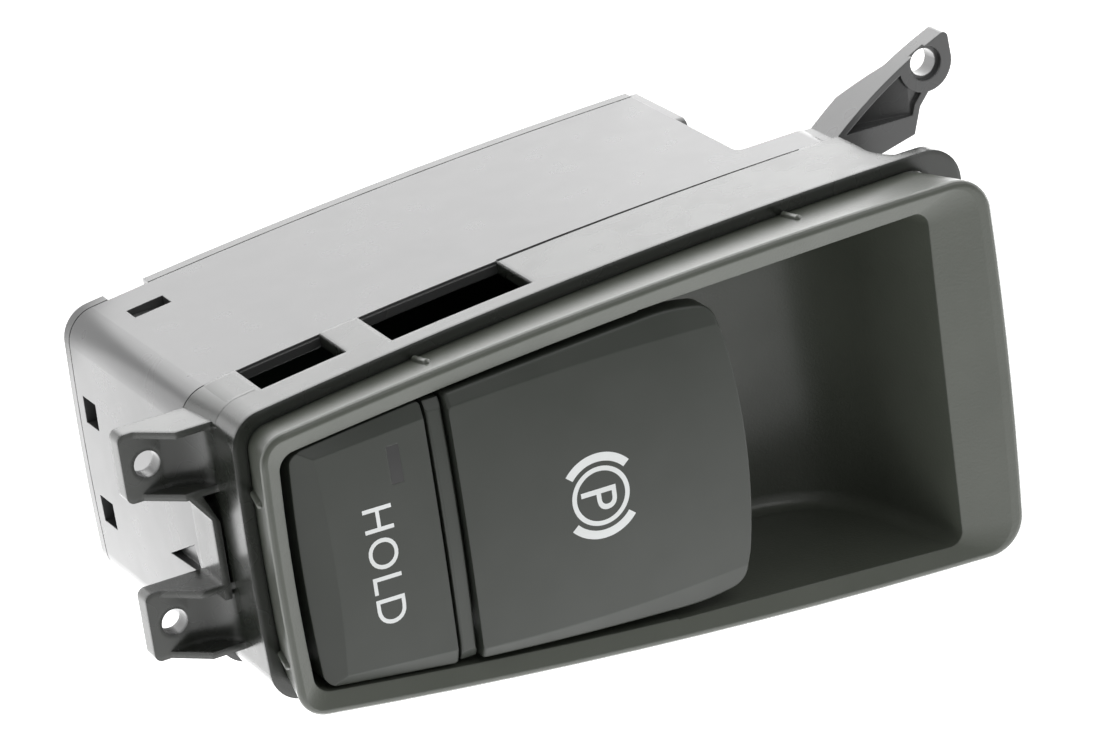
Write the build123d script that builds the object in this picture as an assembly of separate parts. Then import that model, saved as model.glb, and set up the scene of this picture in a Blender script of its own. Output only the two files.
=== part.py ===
"""Electric parking brake switch for a vehicle's centre console.

Millimetres. +X runs towards the wide end with the finger recess, +Y to the long side that carries the
mounting arm, +Z out of the trim towards the driver. The origin lies on the bottom cover's outer face,
under the middle of the trim.
"""
from build123d import *
import os
from math import cos, radians, sin, tan

# Plan of the trim lip: narrow end at -X, wide end at +X, long sides gently bowed
lip_length = 124.0
lip_half_width = 29.2
lip_taper = 4.74
side_bow = 1.92
narrow_bow = 0.57
wide_bow = 0.81
narrow_corner = 4.5
wide_corner = 6.0

# Heights, from the bottom cover's outer face upwards
cover_thick = 2.4
deep_height = 44.8
carrier_height = 16.95
skirt_height = 11.95
lip_tilt = 2.17
seam_z = cover_thick + deep_height
flange_z = seam_z + carrier_height
lip_z = flange_z + skirt_height

# Bezel
rim_width = 3.2
narrow_rim = 2.5
rim_drop = 0.9
lip_round = 0.9
lip_facets = 3
lip_proud = 0.3
lip_land = 0.2
skirt_draw = 1.54
skirt_wall = 1.6
skirt_tuck = 3.0
opening_corner_narrow = 3.0
opening_corner_wide = 2.2
crush_rib_radius = 0.6
crush_rib_proud = 0.65
crush_rib_low = 0.75
crush_rib_high = 5.6
crush_rib_x = (-32.1, 33.0)
crush_rib_y = (11.6, -15.2)

# Finger recess moulded in one with the bezel
recess_depth = 30.4
recess_start = 1.0
recess_curve = 18.5
recess_end_slope = 76.0
recess_end = 51.5
recess_wall = 1.5
recess_draft = 0.8
recess_back_top = 14.0
recess_corner = 2.4
recess_step = 0.05
land_thick = 2.4

# Front carrier with its flange, ears and deck
flange_proud = 0.89
flange_narrow_end = 62.8
flange_wide_end = 65.2
flange_thick = 2.45
carrier_wall = 2.0
carrier_body_end = 53.3
flare_height = 9.8
flare_reach = 6.2
end_bar_x = 65.1
end_bar_thick = 1.2
end_bar_height = 8.4
end_bar_y = (-8.2, 5.3)
skirt_clearance = 0.15
deck_thick = 2.0
deck_drop = 19.5
window_a = (-54.5, -39.9)
window_a_height = 10.3
window_b = (-33.4, -8.9)
window_b_height = 13.05
window_reach = 5.0

# Screw ears on the narrow end
ear_thick = 3.4
ear_width = 11.4
ear_end = 76.2
ear_hole_x = 72.1
ear_spacing = 26.6
ear_middle = 2.0
ear_hole_radius = 2.15
ear_corner = 1.2
gusset_thick = 1.1
gusset_height = 5.0
gusset_start = 73.6
ear_cove = 6.8

# Rear housing
housing_proud = 0.6
housing_wall = 2.0
housing_narrow_end = 64.3
housing_lean = 0.7
housing_corner = 5.5
deep_end = 39.1
housing_wide_corner = 3.0
step_radius = 1.5
shallow_height = 8.1
seam_groove = 0.25
seam_groove_depth = 0.5
sunk_triangle = ((-7.7, 4.7), (-2.4, 16.1), (-7.1, 17.4))
sunk_triangle_depth = 1.0
board_groove = 1.0
groove_rib = 1.4

# Mounting arm on the rear housing
arm_hole_x = 70.6
arm_hole_y = 40.5
arm_hole_radius = 2.3
arm_pad = 4.85
arm_thick = 4.2
arm_root_height = 8.0
arm_sink_radius = 2.9
arm_sink_depth = 0.9
arm_middle = (63.6, 39.7)
arm_tip = (75.1, 45.2)
arm_neck = (68.8, 33.6)
arm_heel = (67.3, 29.2)
arm_rim = 1.1
arm_pocket_shallow = 0.8
arm_pocket_deep = 4.5

# Bottom cover
cover_inset = 0.15
cover_rim_height = 3.0
cover_rim_wall = 1.5
cover_notch = (-57.5, -50.3)
cover_notch_depth = 1.2
flap_thick = 1.8
flap_height = 18.3
flap_low = 0.3
flap_inset = 0.3
flap_corner = 2.0
hook_x = -54.0
hook_width = 6.4
hook_top = 13.2
hook_tooth = 3.8
hook_thick = 1.4
hook_ramp = 1.5
end_hook_y = (8.1, -9.3)
end_hook_width = 4.6
end_hook_low = 5.0
end_hook_high = 10.2
cover_clearance = 0.1

# Buttons and the bar between them
button_wall = 1.5
hold_end = -57.5
hold_start = -36.0
hold_gap = 0.7
hold_skirt = 6.0
brake_start = -32.2
brake_free_end = 15.7
brake_end_bow = 2.0
brake_gap_hinge = 0.9
brake_gap_free = 2.3
brake_corner = 3.5
brake_bend_x = 3.0
brake_tuck = 1.3
brake_edge_round = 0.6
brake_skirt = 6.8
brake_free_skirt = 3.6
divider_width = 2.6
divider_x = -34.1
divider_gap = 1.2
divider_drop = 1.9
divider_crown = 0.9
divider_depth = 8.0
divider_end_drop = 1.0
divider_end_slope = 1.6
divider_stem_half = 17.0

# Indicator lens in the hold button
lens_x = -41.65
lens_y = 13.55
lens_width = 1.95
lens_length = 6.1
lens_depth = 6.0
lens_foot_drop = 3.5

# Brake button's hinge and centring slider
hinge_x = -28.0
hinge_drop = 4.4
pin_radius = 1.25
pin_length = 35.0
post_y = 13.0
post_thick = 3.0
post_half = 2.0
knuckle_thick = 2.4
knuckle_gap = 0.3
knuckle_wall = 1.3
running_clearance = 0.05
slider_x = -8.0
slider_pin_drop = 9.0
slider_pin_radius = 1.2
slider_play = 0.1
slider_head_half = 4.0
slider_head_thick = 4.0
slider_stem_half = 2.0
slider_lug_thick = 1.6
slider_head_wall = 1.6
slider_reach = 14.0
lug_radius = 2.4
slide_clearance = 0.3
collar_thick = 1.4
collar_radius = 4.2
spring_wire = 0.35
spring_mean_radius = 3.3
spring_chords = 16
brake_spring_length = 6.4
hold_stem_x = -47.0
hold_stem_half = 2.0
hold_seat_drop = 6.0
hold_leg_y = 12.5
hold_leg_half = 1.5
hold_leg_reach = 3.0
hold_barb = 0.9
hold_stem_reach = 12.0
magnet_size = 3.0
magnet_gap = 1.0
magnet_lift = 0.8
magnet_sink = 1.2

# Circuit board standing on edge in the rear housing, and its connector
board_y = -7.0
board_thick = 1.6
board_low = 8.0
board_top_gap = 4.2
led_drop = 14.0
sensor_size = 3.0
sensor_thick = 1.0
sensor_up = 4.0
sensor_down = 1.0
connector_low = 20.6
connector_high = 32.0
connector_half = 10.0
connector_depth = 13.0
connector_wall = 1.3
connector_y = 2.0
connector_proud = 0.6
connector_back = 2.0
key_half = 1.5
key_depth = 0.7
terminal_size = 0.7
terminal_pitch = 3.0
terminal_row_pitch = 3.6
terminal_shift = 1.4
terminal_tail = 2.5
terminal_stagger = 1.5
terminal_rows = 2
terminal_columns = 4
terminal_reach = 6.5
guide_radius = 2.2
guide_x = -18.0
guide_below = 8.0
guide_drop = 6.5

# Worked out from the sizes above
half = lip_length / 2
deck_z = lip_z - deck_drop
board_high = seam_z - board_top_gap
led_z = deck_z - deck_thick - led_drop
slider_foot_z = deck_z - deck_thick - brake_spring_length - slider_reach
hold_foot_z = deck_z - deck_thick - hold_stem_reach
connector_face = deep_end + connector_proud
connector_rear = connector_face - connector_depth
recess_floor = lip_z - recess_depth
lip_plane = Plane(
    origin=(0, 0, lip_z),
    x_dir=(cos(radians(lip_tilt)), 0, sin(radians(lip_tilt))),
    z_dir=(-sin(radians(lip_tilt)), 0, cos(radians(lip_tilt))),
)
big = 2 * lip_length


def side_y(x, offset=0.0):
    """Half width of the lip at a station along X, grown by an offset."""
    u = x / half
    return lip_half_width + lip_taper * u - side_bow * u * u + offset


def lip_height(x):
    """Height of the lip's sloping plane at a station along X."""
    return lip_z + x * tan(radians(lip_tilt))


def end_edge(x, y0, y1, bow):
    """Edge across one end of the plan, straight or bowed."""
    if bow == 0:
        return Line((x, y0), (x, y1))
    return ThreePointArc((x, y0), (x + bow, (y0 + y1) / 2), (x, y1))


def closed(*edges):
    """Face inside a loop of edges."""
    return make_face(Sketch() + list(edges))


def plan(offset, x0, x1, r0, r1, bow0=narrow_bow, bow1=wide_bow, offset1=None):
    """Plan outline between two stations, its long sides following the lip, with rounded corners."""
    offset1 = offset if offset1 is None else offset1
    xm = (x0 + x1) / 2
    y0, ym, y1 = side_y(x0, offset), side_y(xm, (offset + offset1) / 2), side_y(x1, offset1)
    face = closed(
        ThreePointArc((x0, -y0), (xm, -ym), (x1, -y1)),
        end_edge(x1, -y1, y1, bow1),
        ThreePointArc((x1, y1), (xm, ym), (x0, y0)),
        end_edge(x0, y0, -y0, -bow0),
    )
    ends = face.vertices().sort_by(Axis.X)
    if r0 > 0:
        face = fillet(ends[:2], r0)
        ends = face.vertices().sort_by(Axis.X)
    if r1 > 0:
        face = fillet(ends[-2:], r1)
    return face


def prism(face, z0, z1):
    """Straight block over a plan face between two heights."""
    return extrude(Pos(0, 0, z0) * face, amount=z1 - z0, dir=(0, 0, 1))


def side_slab(points_face, y0, y1):
    """Block over a face drawn in the XZ plane, between two stations along Y."""
    return extrude(Pos(0, y0, 0) * points_face, amount=y1 - y0, dir=(0, 1, 0))


def xz(*points):
    """Polygon in the XZ plane."""
    return Plane.XZ * make_face(Polyline(*points, close=True))


def block(x0, x1, y0, y1, z0, z1):
    """Axis-aligned block between two limits on each axis, in either order."""
    return Pos((x0 + x1) / 2, (y0 + y1) / 2, (z0 + z1) / 2) * Box(abs(x1 - x0), abs(y1 - y0), abs(z1 - z0))


def cross_rod(x, z, radius, y0, y1):
    """Round rod along Y between two stations, in either order."""
    return Pos(x, (y0 + y1) / 2, z) * Rot(90, 0, 0) * Cylinder(radius, abs(y1 - y0))


def recess_profile(grow, top):
    """Lengthwise section of the finger recess: flat floor, wide curve and steep end, grown by a wall."""
    slope = radians(recess_end_slope)
    radius = recess_curve + grow
    top_x = recess_end + grow / sin(slope) + (top - lip_z) / tan(slope)
    floor = recess_floor - grow
    rise = recess_floor + recess_curve
    # the curve's centre follows from the steep end's place
    end_x0 = recess_end - (lip_z - rise + recess_curve * cos(slope)) / tan(slope)
    centre_x = end_x0 - recess_curve * sin(slope)
    arc_end = (centre_x + radius * sin(slope), rise - radius * cos(slope))
    mid = (centre_x + radius * sin(slope / 2), rise - radius * cos(slope / 2))
    start = recess_start - grow
    lines = Sketch() + [
        Line((start, floor), (centre_x, floor)),
        ThreePointArc((centre_x, floor), mid, arc_end),
        Line(arc_end, (top_x, top)),
        Line((top_x, top), (start, top)),
        Line((start, top), (start, floor)),
    ]
    return Plane.XZ * make_face(lines)


def opening_shape(grow=0.0):
    """Drafted inner shape of the trim opening from the recess floor to above the lip."""
    low = recess_floor - recess_wall - 1.0
    high = lip_z + half * tan(radians(lip_tilt)) + 1.0
    upper = plan(-rim_width + grow, -half + narrow_rim - grow, recess_end + 2.0,
                 opening_corner_narrow, opening_corner_wide, narrow_bow, 0.2)
    lower = plan(-rim_width - recess_draft + grow, -half + narrow_rim + recess_draft - grow, recess_end + 2.0,
                 opening_corner_narrow, opening_corner_wide, narrow_bow, 0.2)
    return loft([Pos(0, 0, low) * lower, Pos(0, 0, high) * upper], ruled=True)


def skirt_shift(x, z):
    """Offset of the drafted skirt from the reference outline at a height."""
    share = (z - flange_z) / (lip_height(x) - lip_round - flange_z)
    return share * (skirt_draw + lip_proud) - skirt_draw


def pill(start, end, radius):
    """Rod between two points, with cone ends."""
    axis = Line(start, end)
    length = axis.length
    profile = Plane.XZ * make_face(Polyline((0, -radius), (radius, 0), (radius, length), (0, length + radius),
                                            close=True))
    return Plane(origin=start, z_dir=axis % 0).location * revolve(profile, Axis.Z)


def crush_ribs():
    """Small ribs on the skirt that centre the bezel in the trim's opening."""
    z0, z1 = flange_z + crush_rib_low, flange_z + crush_rib_high
    sunk = crush_rib_proud - crush_rib_radius
    ribs = []
    for x in crush_rib_x:
        for side in (1, -1):
            low, high = [side * side_y(x, skirt_shift(x, z) + sunk) for z in (z0, z1)]
            ribs.append(pill((x, low, z0), (x, high, z1), crush_rib_radius))
    for y in crush_rib_y:
        bow = narrow_bow * (1 - (y / side_y(-half)) ** 2)
        low, high = [-half - bow - skirt_shift(-half, z) - sunk for z in (z0, z1)]
        ribs.append(pill((low, y, z0), (high, y, z1), crush_rib_radius))
    return ribs


def lip_section(inset, drop):
    """Outline on the lip's rounded edge, moved in and down from the sloping lip plane."""
    grow = lip_proud - inset
    return lip_plane * Pos(0, 0, -drop) * plan(grow, -half - grow, half + grow, narrow_corner + grow,
                                               wide_corner + grow)


def make_bezel():
    """Trim bezel: tapered skirt, rounded lip, button opening and the finger recess as one moulding."""
    foot = plan(-skirt_draw, -half + skirt_draw, half - skirt_draw,
                narrow_corner - skirt_draw / 2, wide_corner - skirt_draw / 2)
    sections = [Pos(0, 0, flange_z) * foot]
    for step in range(lip_facets + 1):
        turn = radians(90 * step / lip_facets)
        sections.append(lip_section(lip_round * (1 - cos(turn)), lip_round * (1 - sin(turn))))
    shell = loft(sections, ruled=True)
    shell += prism(foot, flange_z - skirt_tuck, flange_z)
    tub_top = lip_z - rim_drop - 0.5
    shell += opening_shape(recess_wall) & side_slab(recess_profile(recess_wall, tub_top), -big, big)
    # the rim falls slightly towards the opening
    flat = lip_proud - lip_round - lip_land
    fall = rim_drop / (rim_width + flat)
    past = 0.6
    rim_low = plan(-rim_width - past, -half + narrow_rim + past, recess_end - past, opening_corner_narrow,
                   opening_corner_wide, narrow_bow, 0.2)
    rim_high = plan(flat + past, -half - flat - past, half + flat + past,
                    opening_corner_narrow, wide_corner - 1.0)
    funnel = loft([lip_plane * Pos(0, 0, -rim_drop - past * fall) * rim_low,
                   lip_plane * Pos(0, 0, past * fall) * rim_high], ruled=True)
    shell -= funnel
    # through opening for the buttons, closed by the recess at the wide end
    back = recess_start - recess_wall
    low = recess_floor - big
    high = lip_z + 10
    through = xz((-big, low), (back, low), (back, high), (-big, high))
    over = xz((back - 1, lip_z - recess_back_top), (recess_start + 1, lip_z - recess_back_top),
              (recess_start + 1, high), (back - 1, high))
    cavity = opening_shape()
    shell -= cavity & side_slab(through, -big, big)
    shell -= cavity & side_slab(over, -big, big)
    shell -= hand_room(high)
    # the wide land is a thin wall, hollow underneath
    slope = radians(recess_end_slope)
    land_low = flange_z - skirt_tuck - 1
    land_high = lip_z - land_thick
    x_low = recess_end + 2 * recess_wall - (lip_z - land_low) / tan(slope)
    x_high = recess_end + 2 * recess_wall - land_thick / tan(slope)
    x_out = half - skirt_draw - skirt_wall - wide_bow
    hollow = xz((x_low, land_low), (x_out, land_low), (x_out, land_high), (x_high, land_high))
    inner = prism(plan(-skirt_draw - skirt_wall, 0, x_out, 0, wide_corner - skirt_wall), land_low, land_high)
    shell -= side_slab(hollow, -big, big) & inner
    for rib in crush_ribs():
        shell += rib
    return shell


def hand_room(high):
    """Room of the finger recess: flat drafted sides, with the long corners rounded."""
    room = side_slab(recess_profile(0.0, high), -half, half)
    for side in (1, -1):
        near = Vector(recess_start, side * side_y(recess_start, recess_step - rim_width), lip_z)
        far = Vector(recess_end + 2.0, side * side_y(recess_end + 2.0, -rim_width), lip_z)
        deep = near - Vector(0, side * recess_draft, recess_depth)
        out = (far - near).cross(deep - near) * side
        beyond = Box(2 * big, 2 * big, half, align=(Align.CENTER, Align.CENTER, Align.MIN))
        room -= Plane(origin=near, z_dir=out).location * beyond
    corners = room.edges().filter_by(lambda e: e.length > recess_curve and abs(e.center().Y) > half / 4
                                     and (e @ 0 - e @ 1).length > abs((e @ 0 - e @ 1).Y) + 5
                                     and e.center().Z < lip_z - 3 and e.center().X > recess_start + 1)
    return fillet(corners, recess_corner)


def flare_profile(shift):
    """Lengthwise limit of the carrier's body: straight end, then a concave flare out to the flange."""
    x0 = carrier_body_end - shift
    z1 = flange_z - flare_height
    mid = (x0 + flare_reach * (1 - cos(radians(45))), z1 + flare_height * sin(radians(45)))
    low = seam_z - 1 if shift else seam_z
    return Plane.XZ * make_face(Sketch() + [
        Line((x0, low), (x0, z1)),
        ThreePointArc((x0, z1), mid, (x0 + flare_reach, flange_z)),
        Line((x0 + flare_reach, flange_z), (-half - 6, flange_z)),
        Line((-half - 6, flange_z), (-half - 6, low)),
        Line((-half - 6, low), (x0, low)),
    ])


def make_ear(y):
    """Screw ear with two side gussets and a cove up to the end wall."""
    y0, y1 = y - ear_width / 2, y + ear_width / 2
    root = -half + 2
    pad = block(-ear_end, root, y0, y1, seam_z, seam_z + ear_thick)
    pad = fillet(pad.edges().filter_by(Axis.Z).group_by(Axis.X)[0], ear_corner)
    top = seam_z + ear_thick
    ridge = top + gusset_height
    gusset = xz((-gusset_start, top - 0.5), (-gusset_start, top), (-gusset_start + gusset_height, ridge),
                (root, ridge), (root, top - 0.5))
    ear = pad
    ear += side_slab(gusset, y0, y0 + gusset_thick)
    ear += side_slab(gusset, y1 - gusset_thick, y1)
    wall = -flange_narrow_end
    share = 1 - sin(radians(45))
    cove = Plane.XZ * make_face(Sketch() + [
        Line((root, top - 0.5), (wall - ear_cove, top - 0.5)),
        Line((wall - ear_cove, top - 0.5), (wall - ear_cove, top)),
        ThreePointArc((wall - ear_cove, top), (wall - ear_cove * share, top + ear_cove * share),
                      (wall, top + ear_cove)),
        Line((wall, top + ear_cove), (root, top + ear_cove)),
        Line((root, top + ear_cove), (root, top - 0.5)),
    ])
    ear += side_slab(cove, y0 + gusset_thick / 2, y1 - gusset_thick / 2)
    return ear


def make_end_bar():
    """Standing bar between the ears, turned out to the first ear's gusset, on a low web."""
    face = -end_bar_x
    low, high = end_bar_y
    gusset = ear_middle + ear_spacing / 2 - ear_width / 2
    corner = -gusset_start + gusset_height
    back = face + end_bar_thick
    bar = make_face(Polyline((face, low), (face, high), (corner, gusset + gusset_thick / 2),
                             (corner + 2 * end_bar_thick, gusset + gusset_thick / 2),
                             (back, high - end_bar_thick / 2), (back, low), close=True))
    web = block(face + 0.2, -half + 2, low + 0.2, high, seam_z, seam_z + ear_thick)
    return prism(bar, seam_z, seam_z + end_bar_height) + web


def make_front_carrier():
    """Glossy front frame: flange, side walls, deck, hinge posts and screw ears."""
    outline = plan(flange_proud, -flange_narrow_end, flange_wide_end, narrow_corner + 1, wide_corner)
    body = prism(outline, seam_z, flange_z) & side_slab(flare_profile(0), -big, big)
    body += prism(outline, flange_z - flange_thick, flange_z)
    mouth = plan(-skirt_draw + skirt_clearance, -half + skirt_draw - skirt_clearance,
                 half - skirt_draw + skirt_clearance, narrow_corner - 0.5, wide_corner - 0.5)
    body -= prism(mouth, seam_z - 1, flange_z + 1) & side_slab(flare_profile(carrier_wall), -big, big)
    body -= prism(mouth, flange_z - skirt_tuck - 1, flange_z + 1)
    # deck that carries the hinge, springs and light guide
    deck_end = recess_start - recess_wall - 1.0
    deck = plan(-skirt_draw + skirt_clearance + 0.1, -half + skirt_draw - 0.3, deck_end, narrow_corner - 1, 0,
                narrow_bow, 0)
    body += prism(deck, deck_z - deck_thick, deck_z)
    for side in (1, -1):
        for (x0, x1), height in ((window_a, window_a_height), (window_b, window_b_height)):
            y_in = side_y((x0 + x1) / 2, flange_proud) - window_reach
            y_out = side_y(x1, flange_proud) + 1
            body -= block(x0, x1, side * y_in, side * y_out, seam_z - 1, seam_z + height)
    hinge_z = lip_z - hinge_drop
    for side in (1, -1):
        y = side * post_y
        post = Plane.XZ * make_face(Sketch() + [
            Line((hinge_x - post_half, deck_z - 0.5), (hinge_x - post_half, hinge_z)),
            ThreePointArc((hinge_x - post_half, hinge_z), (hinge_x, hinge_z + post_half),
                          (hinge_x + post_half, hinge_z)),
            Line((hinge_x + post_half, hinge_z), (hinge_x + 2 * post_half, deck_z - 0.5)),
            Line((hinge_x + 2 * post_half, deck_z - 0.5), (hinge_x - post_half, deck_z - 0.5)),
        ])
        body += side_slab(post, y - post_thick / 2, y + post_thick / 2)
    body -= cross_rod(hinge_x, hinge_z, pin_radius, -pin_length, pin_length)
    # wall that carries the bar between the buttons
    body += block(divider_x - divider_width / 2 + 0.4, divider_x + divider_width / 2 - 0.4,
                  -divider_stem_half, divider_stem_half, deck_z - 0.5, lip_z - divider_depth)
    # holes through the deck for the slider, the hold button's stem and legs, and the light guide
    gap = slide_clearance
    s = slider_stem_half + gap
    holes = [block(slider_x - s, slider_x + s, -s, s, 0, lip_z - 15)]
    h = hold_stem_half + gap
    holes.append(block(hold_stem_x - h, hold_stem_x + h, -h, h, 0, lip_z - 15))
    leg = hold_leg_half + gap
    for side in (1, -1):
        y = side * hold_leg_y
        holes.append(block(hold_stem_x - leg, hold_stem_x + leg, y - leg, y + leg, 0, lip_z - 15))
    holes.append(Pos(guide_x, 0, deck_z) * Cylinder(guide_radius, 10))
    for hole in holes:
        body -= hole
    for side in (1, -1):
        body += make_ear(ear_middle + side * ear_spacing / 2)
    body += make_end_bar()
    for side in (1, -1):
        body -= Pos(-ear_hole_x, ear_middle + side * ear_spacing / 2, seam_z) * Cylinder(ear_hole_radius, 40)
    return body


def housing_plan(grow):
    """Plan of the rear housing over its whole length."""
    return plan(housing_proud + grow, -housing_narrow_end - grow, carrier_body_end + grow,
                max(housing_corner + grow, 0.5), max(housing_wide_corner + grow, 0.5), narrow_bow, 0.0)


def deep_block(grow, z0, z1):
    """Straight block over the deep part of the housing's plan."""
    return prism(housing_plan(grow), z0, z1) & block(-big, deep_end + grow, -big, big, z0, z1)


def arm_outline():
    """Plan of the mounting arm, from the housing's corner to the pad round its screw hole."""
    x0 = carrier_body_end - 3
    root = side_y(x0, housing_proud) - 0.2
    start = (carrier_body_end - 0.5, side_y(carrier_body_end, housing_proud) - 0.2)
    right, low = arm_hole_x + arm_pad, arm_hole_y - arm_pad
    inner = (arm_heel[0] - 8, arm_heel[1] - 2)
    turn = arm_pad * sin(radians(45))
    face = closed(
        Line((x0, inner[1]), (x0, root)),
        Line((x0, root), start),
        ThreePointArc(start, arm_middle, arm_tip),
        Line(arm_tip, (right, arm_hole_y)),
        ThreePointArc((right, arm_hole_y), (arm_hole_x + turn, arm_hole_y - turn), (arm_hole_x, low)),
        Line((arm_hole_x, low), arm_neck),
        Line(arm_neck, arm_heel),
        Line(arm_heel, inner),
        Line(inner, (x0, inner[1])),
    )
    tips = [v for v in face.vertices() if v.X > arm_tip[0] - 0.1 and v.Y > arm_hole_y + 1]
    return fillet(tips, 0.9)


def make_arm():
    """Mounting arm: a deep root that thins to the screw pad, its web sunk behind a rim."""
    low = seam_z - arm_root_height
    arm = prism(arm_outline(), low, seam_z)
    pad_low = seam_z - arm_thick
    x1 = arm_hole_x - 2.6 * arm_pad
    x2 = arm_hole_x - 1.1 * arm_pad
    under = xz((x1, low - 1), (big, low - 1), (big, pad_low), (x2, pad_low), (x1, low))
    arm -= side_slab(under, -big, big)
    # the web is sunk on the front, deeper towards the root
    pad = Pos(arm_hole_x, arm_hole_y) * Circle(arm_pad)
    web = offset(arm_outline(), -arm_rim, kind=Kind.INTERSECTION) - pad
    x3 = carrier_body_end + 1.0
    floor_z = seam_z - arm_pocket_shallow
    floor = xz((x3, seam_z - arm_pocket_deep), (x2 + 2, floor_z), (big, floor_z), (big, seam_z + 1),
               (x3, seam_z + 1))
    arm -= prism(web, low, seam_z + 1) & side_slab(floor, side_y(carrier_body_end, housing_proud), big)
    arm -= Pos(arm_hole_x, arm_hole_y, seam_z) * Cylinder(arm_hole_radius, 40)
    arm -= Pos(arm_hole_x, arm_hole_y, seam_z) * Cylinder(arm_sink_radius, 2 * arm_sink_depth)
    return arm


def make_rear_housing():
    """Deep moulded rear housing, stepped to a shallow end under the recess, with the mounting arm."""
    low = cover_thick
    lean = plan(housing_proud + housing_lean / 4, -housing_narrow_end - housing_lean, carrier_body_end,
                housing_corner, housing_wide_corner, narrow_bow, 0.0)
    body = loft([Pos(0, 0, low) * lean, Pos(0, 0, seam_z - seam_groove) * housing_plan(0)], ruled=True)
    # the neck leaves a shadow line under the front carrier
    body += prism(housing_plan(-seam_groove_depth), seam_z - seam_groove, seam_z)
    step = block(deep_end, big, -big, big, low - 1, seam_z - shallow_height)
    body -= fillet(step.edges().filter_by(Axis.Y).group_by(Axis.Z)[-1].group_by(Axis.X)[0], step_radius)
    floor = seam_z - shallow_height + housing_wall
    body -= prism(housing_plan(-housing_wall), floor, seam_z + 1)
    body -= deep_block(-housing_wall, low - 1, floor + 0.5)
    # grooves that hold the circuit board by its two ends
    inner_narrow = -housing_narrow_end + housing_wall
    inner_wide = deep_end - housing_wall
    for x0, x1 in ((inner_narrow - 1.0, inner_narrow + board_groove),
                   (inner_wide - board_groove, inner_wide + 0.5)):
        for y in (board_y - board_thick / 2 - groove_rib, board_y + board_thick / 2):
            body += block(x0, x1, y, y + groove_rib, board_low - 2, board_high + 1)
    # socket mouth in the step's wall
    c = connector_half
    body -= block(deep_end - housing_wall - 3, deep_end + 1, connector_y - c, connector_y + c,
                  connector_low, connector_high)
    # windows for the cover's hooks
    for side in (1, -1):
        y = side * side_y(hook_x, housing_proud)
        w = hook_width / 2
        body -= block(hook_x - w, hook_x + w, y - 4, y + 4, hook_top - hook_tooth, hook_top)
    for y in end_hook_y:
        w = end_hook_width / 2
        body -= block(-housing_narrow_end - 4, inner_narrow + 1, y - w, y + w, end_hook_low, end_hook_high)
    # sunk triangle on the narrow end's wall
    base = seam_z - 18.3
    corners = [(y, base + z) for y, z in sunk_triangle]
    mark = Plane.YZ.offset(-housing_narrow_end - 4) * make_face(Polyline(*corners, close=True))
    body -= extrude(mark, amount=4 - narrow_bow / 2 + sunk_triangle_depth, dir=(1, 0, 0))
    body += make_arm()
    return body


def make_bottom_cover():
    """Snap-on bottom cover with a locating rim, hooks and a flap up the step's wall."""
    lean = plan(housing_proud + housing_lean / 4, -housing_narrow_end - housing_lean, carrier_body_end,
                housing_corner, housing_wide_corner, narrow_bow, 0.0)
    cover = prism(lean, 0, cover_thick) & block(-big, deep_end, -big, big, 0, cover_thick)
    groove = prism(housing_plan(housing_lean + 1.0), cover_thick - seam_groove, cover_thick + 1)
    cover -= groove - prism(housing_plan(-seam_groove_depth), 0, cover_thick + 2)
    x0, x1 = cover_notch
    notch_y = side_y(x0, housing_proud) - cover_notch_depth
    for side in (1, -1):
        cover -= block(x0, x1, side * notch_y, side * big, -1, cover_thick + 1)
    inner = -housing_wall - cover_inset
    rim = deep_block(inner, cover_thick - 0.5, cover_thick + cover_rim_height)
    rim -= deep_block(inner - cover_rim_wall, cover_thick - 1, cover_thick + cover_rim_height + 1)
    cover += rim
    flap_x = deep_end + cover_clearance
    flap_half = side_y(deep_end, housing_proud - flap_inset)
    flap = block(flap_x, flap_x + flap_thick, -flap_half, flap_half, flap_low, flap_low + flap_height)
    cover += fillet(flap.edges().filter_by(Axis.X).group_by(Axis.Z)[-1], flap_corner)
    cover += block(deep_end - 4, flap_x + flap_thick / 2, -flap_half + 1, flap_half - 1, flap_low,
                   cover_thick - seam_groove)
    for side in (1, -1):
        w = hook_width / 2 - 0.4
        y = side_y(hook_x - w, housing_proud - housing_wall - cover_clearance)
        tongue = block(hook_x - w, hook_x + w, y - hook_thick, y, cover_thick - 0.5, hook_top - 0.2)
        catch = hook_top - hook_tooth + 0.2
        tooth = Plane.YZ * make_face(Polyline(
            (y - 0.2, hook_top - 0.2), (y - 0.2, catch), (y + hook_thick, catch),
            (y + hook_thick, hook_top - hook_ramp), close=True))
        tongue += extrude(Pos(hook_x - w, 0, 0) * tooth, amount=2 * w, dir=(1, 0, 0))
        cover += tongue if side > 0 else mirror(tongue, Plane.XZ)
    return cover


def button_section(x, edge_y, bevel_y, edge_z, bevel_z, crown_z, low):
    """Cross section of a button's block at one station: bevelled sides and a crowned top."""
    slope = (bevel_z - edge_z) / (edge_y - bevel_y)
    wide_y = edge_y + 4.0
    wide_z = edge_z - 4.0 * slope
    return Plane.YZ.offset(x) * make_face(Sketch() + [
        Line((-wide_y, low), (wide_y, low)),
        Line((wide_y, low), (wide_y, wide_z)),
        Line((wide_y, wide_z), (bevel_y, bevel_z)),
        ThreePointArc((bevel_y, bevel_z), (0, crown_z), (-bevel_y, bevel_z)),
        Line((-bevel_y, bevel_z), (-wide_y, wide_z)),
        Line((-wide_y, wide_z), (-wide_y, low)),
    ])


def brake_block(sink, low):
    """Crowned block of the brake button's top, lowered by a wall."""
    sections = []
    for x, bevel_y, edge_z, bevel_z, crown_z in (
        (brake_start - 1, 20.1, -1.5, -0.75, -0.2),
        ((brake_start + brake_free_end) / 2, 21.0, -1.15, 0.0, 1.1),
        (brake_free_end + 1, 20.2, -1.35, -0.15, 0.9),
    ):
        sections.append(button_section(x, side_y(x, -rim_width - 1.5), bevel_y, lip_z + edge_z - sink,
                                       lip_z + bevel_z - sink, lip_z + crown_z - sink, low))
    return loft(sections)


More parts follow.
